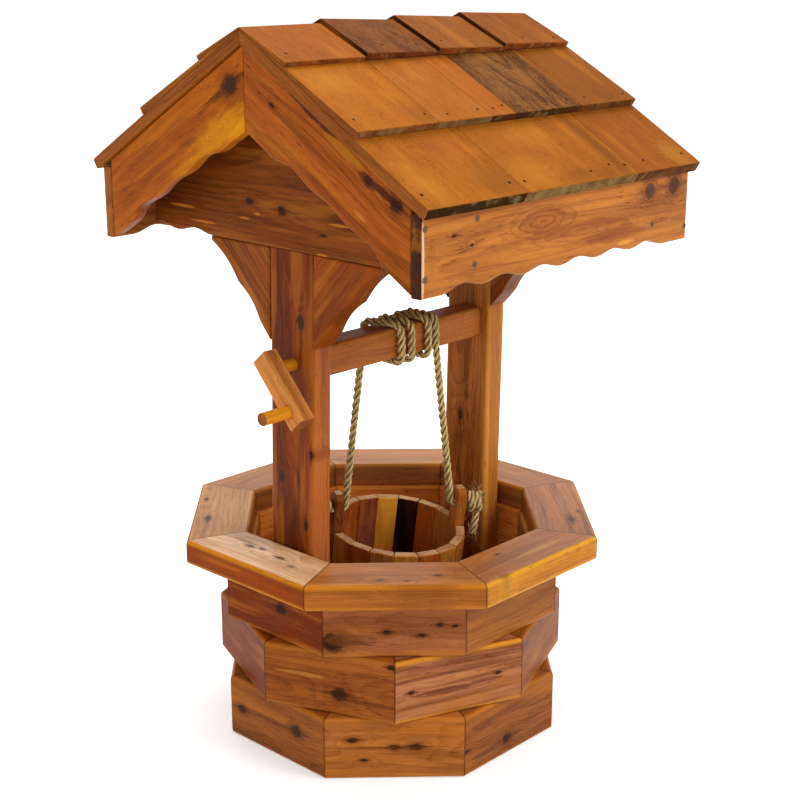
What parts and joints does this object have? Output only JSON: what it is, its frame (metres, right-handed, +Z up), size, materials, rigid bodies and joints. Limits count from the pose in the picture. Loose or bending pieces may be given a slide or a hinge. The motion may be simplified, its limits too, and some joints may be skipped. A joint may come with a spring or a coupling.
{
  "type": "wishing well planter",
  "caption": "Wishing well planter of stacked eight-sided wood courses, with two posts, a shingled gable roof, and a crank roller whose rope lifts a staved bucket.",
  "frame": {"origin": "on the ground, at the middle of the well", "axes": "+X along the roller and the ridge, away from the crank; +Y across the roof's slopes; +Z up"},
  "size_m": [0.6096, 0.6708, 1.0769],
  "materials": {
    "course_cedar": "stained, satin",
    "cap_cedar": "stained, satin",
    "frame_cedar": "dark stained, satin",
    "trim_cedar": "stained, satin",
    "shingle_cedar": "stained, matt",
    "crank_cedar": "stained, satin",
    "bucket_cedar": "stained, satin",
    "manila_rope": "three-strand fibre"
  },
  "bodies": {
    "well": {"course_1_board_1": "course_cedar", "course_1_board_2": "course_cedar", "course_1_board_3": "course_cedar", "course_1_board_4": "course_cedar", "course_1_board_5": "course_cedar", "course_1_board_6": "course_cedar", "course_1_board_7": "course_cedar", "course_1_board_8": "course_cedar", "course_2_board_1": "course_cedar", "course_2_board_2": "course_cedar", "course_2_board_3": "course_cedar", "course_2_board_4": "course_cedar", "course_2_board_5": "course_cedar", "course_2_board_6": "course_cedar", "course_2_board_7": "course_cedar", "course_2_board_8": "course_cedar", "course_3_board_1": "course_cedar", "course_3_board_2": "course_cedar", "course_3_board_3": "course_cedar", "course_3_board_4": "course_cedar", "course_3_board_5": "course_cedar", "course_3_board_6": "course_cedar", "course_3_board_7": "course_cedar", "course_3_board_8": "course_cedar", "cap_board_1": "cap_cedar", "cap_board_2": "cap_cedar", "cap_board_3": "cap_cedar", "cap_board_4": "cap_cedar", "cap_board_5": "cap_cedar", "cap_board_6": "cap_cedar", "cap_board_7": "cap_cedar", "cap_board_8": "cap_cedar", "crank_post": "frame_cedar", "crank_gable_header": "frame_cedar", "crank_front_brace": "frame_cedar", "crank_back_brace": "frame_cedar", "crank_front_rake": "trim_cedar", "crank_back_rake": "trim_cedar", "far_post": "frame_cedar", "far_gable_header": "frame_cedar", "far_front_brace": "frame_cedar", "far_back_brace": "frame_cedar", "far_front_rake": "trim_cedar", "far_back_rake": "trim_cedar", "front_fascia": "trim_cedar", "front_roof_boards": "shingle_cedar", "front_middle_shingles": "shingle_cedar", "front_ridge_shingles": "shingle_cedar", "back_fascia": "trim_cedar", "back_roof_boards": "shingle_cedar", "back_middle_shingles": "shingle_cedar", "back_ridge_shingles": "shingle_cedar"},
    "roller": {"roller": "frame_cedar", "crank_arm": "crank_cedar", "crank_handle": "crank_cedar", "rope_winding": "manila_rope"},
    "bucket": {"bucket_staves": "bucket_cedar", "bucket_bottom": "bucket_cedar", "back_rope_fall": "manila_rope", "front_rope_fall": "manila_rope"}
  },
  "joints": [
    {"name": "roller_turn", "type": "hinge", "parent": "well", "child": "roller", "pos_m": [0, -0.004, 0.602], "axis": [-1, 0, 0], "range_deg": [0, 327]},
    {"name": "bucket_lift", "type": "slide", "parent": "well", "child": "bucket", "axis": [0, 0, 1], "range_m": [0, 0.2], "deforming": ["back_rope_fall", "front_rope_fall"]}
  ],
  "couplings": [
    {"joint": "bucket_lift", "follows": "roller_turn", "m_per_rad": 0.035}
  ]
}
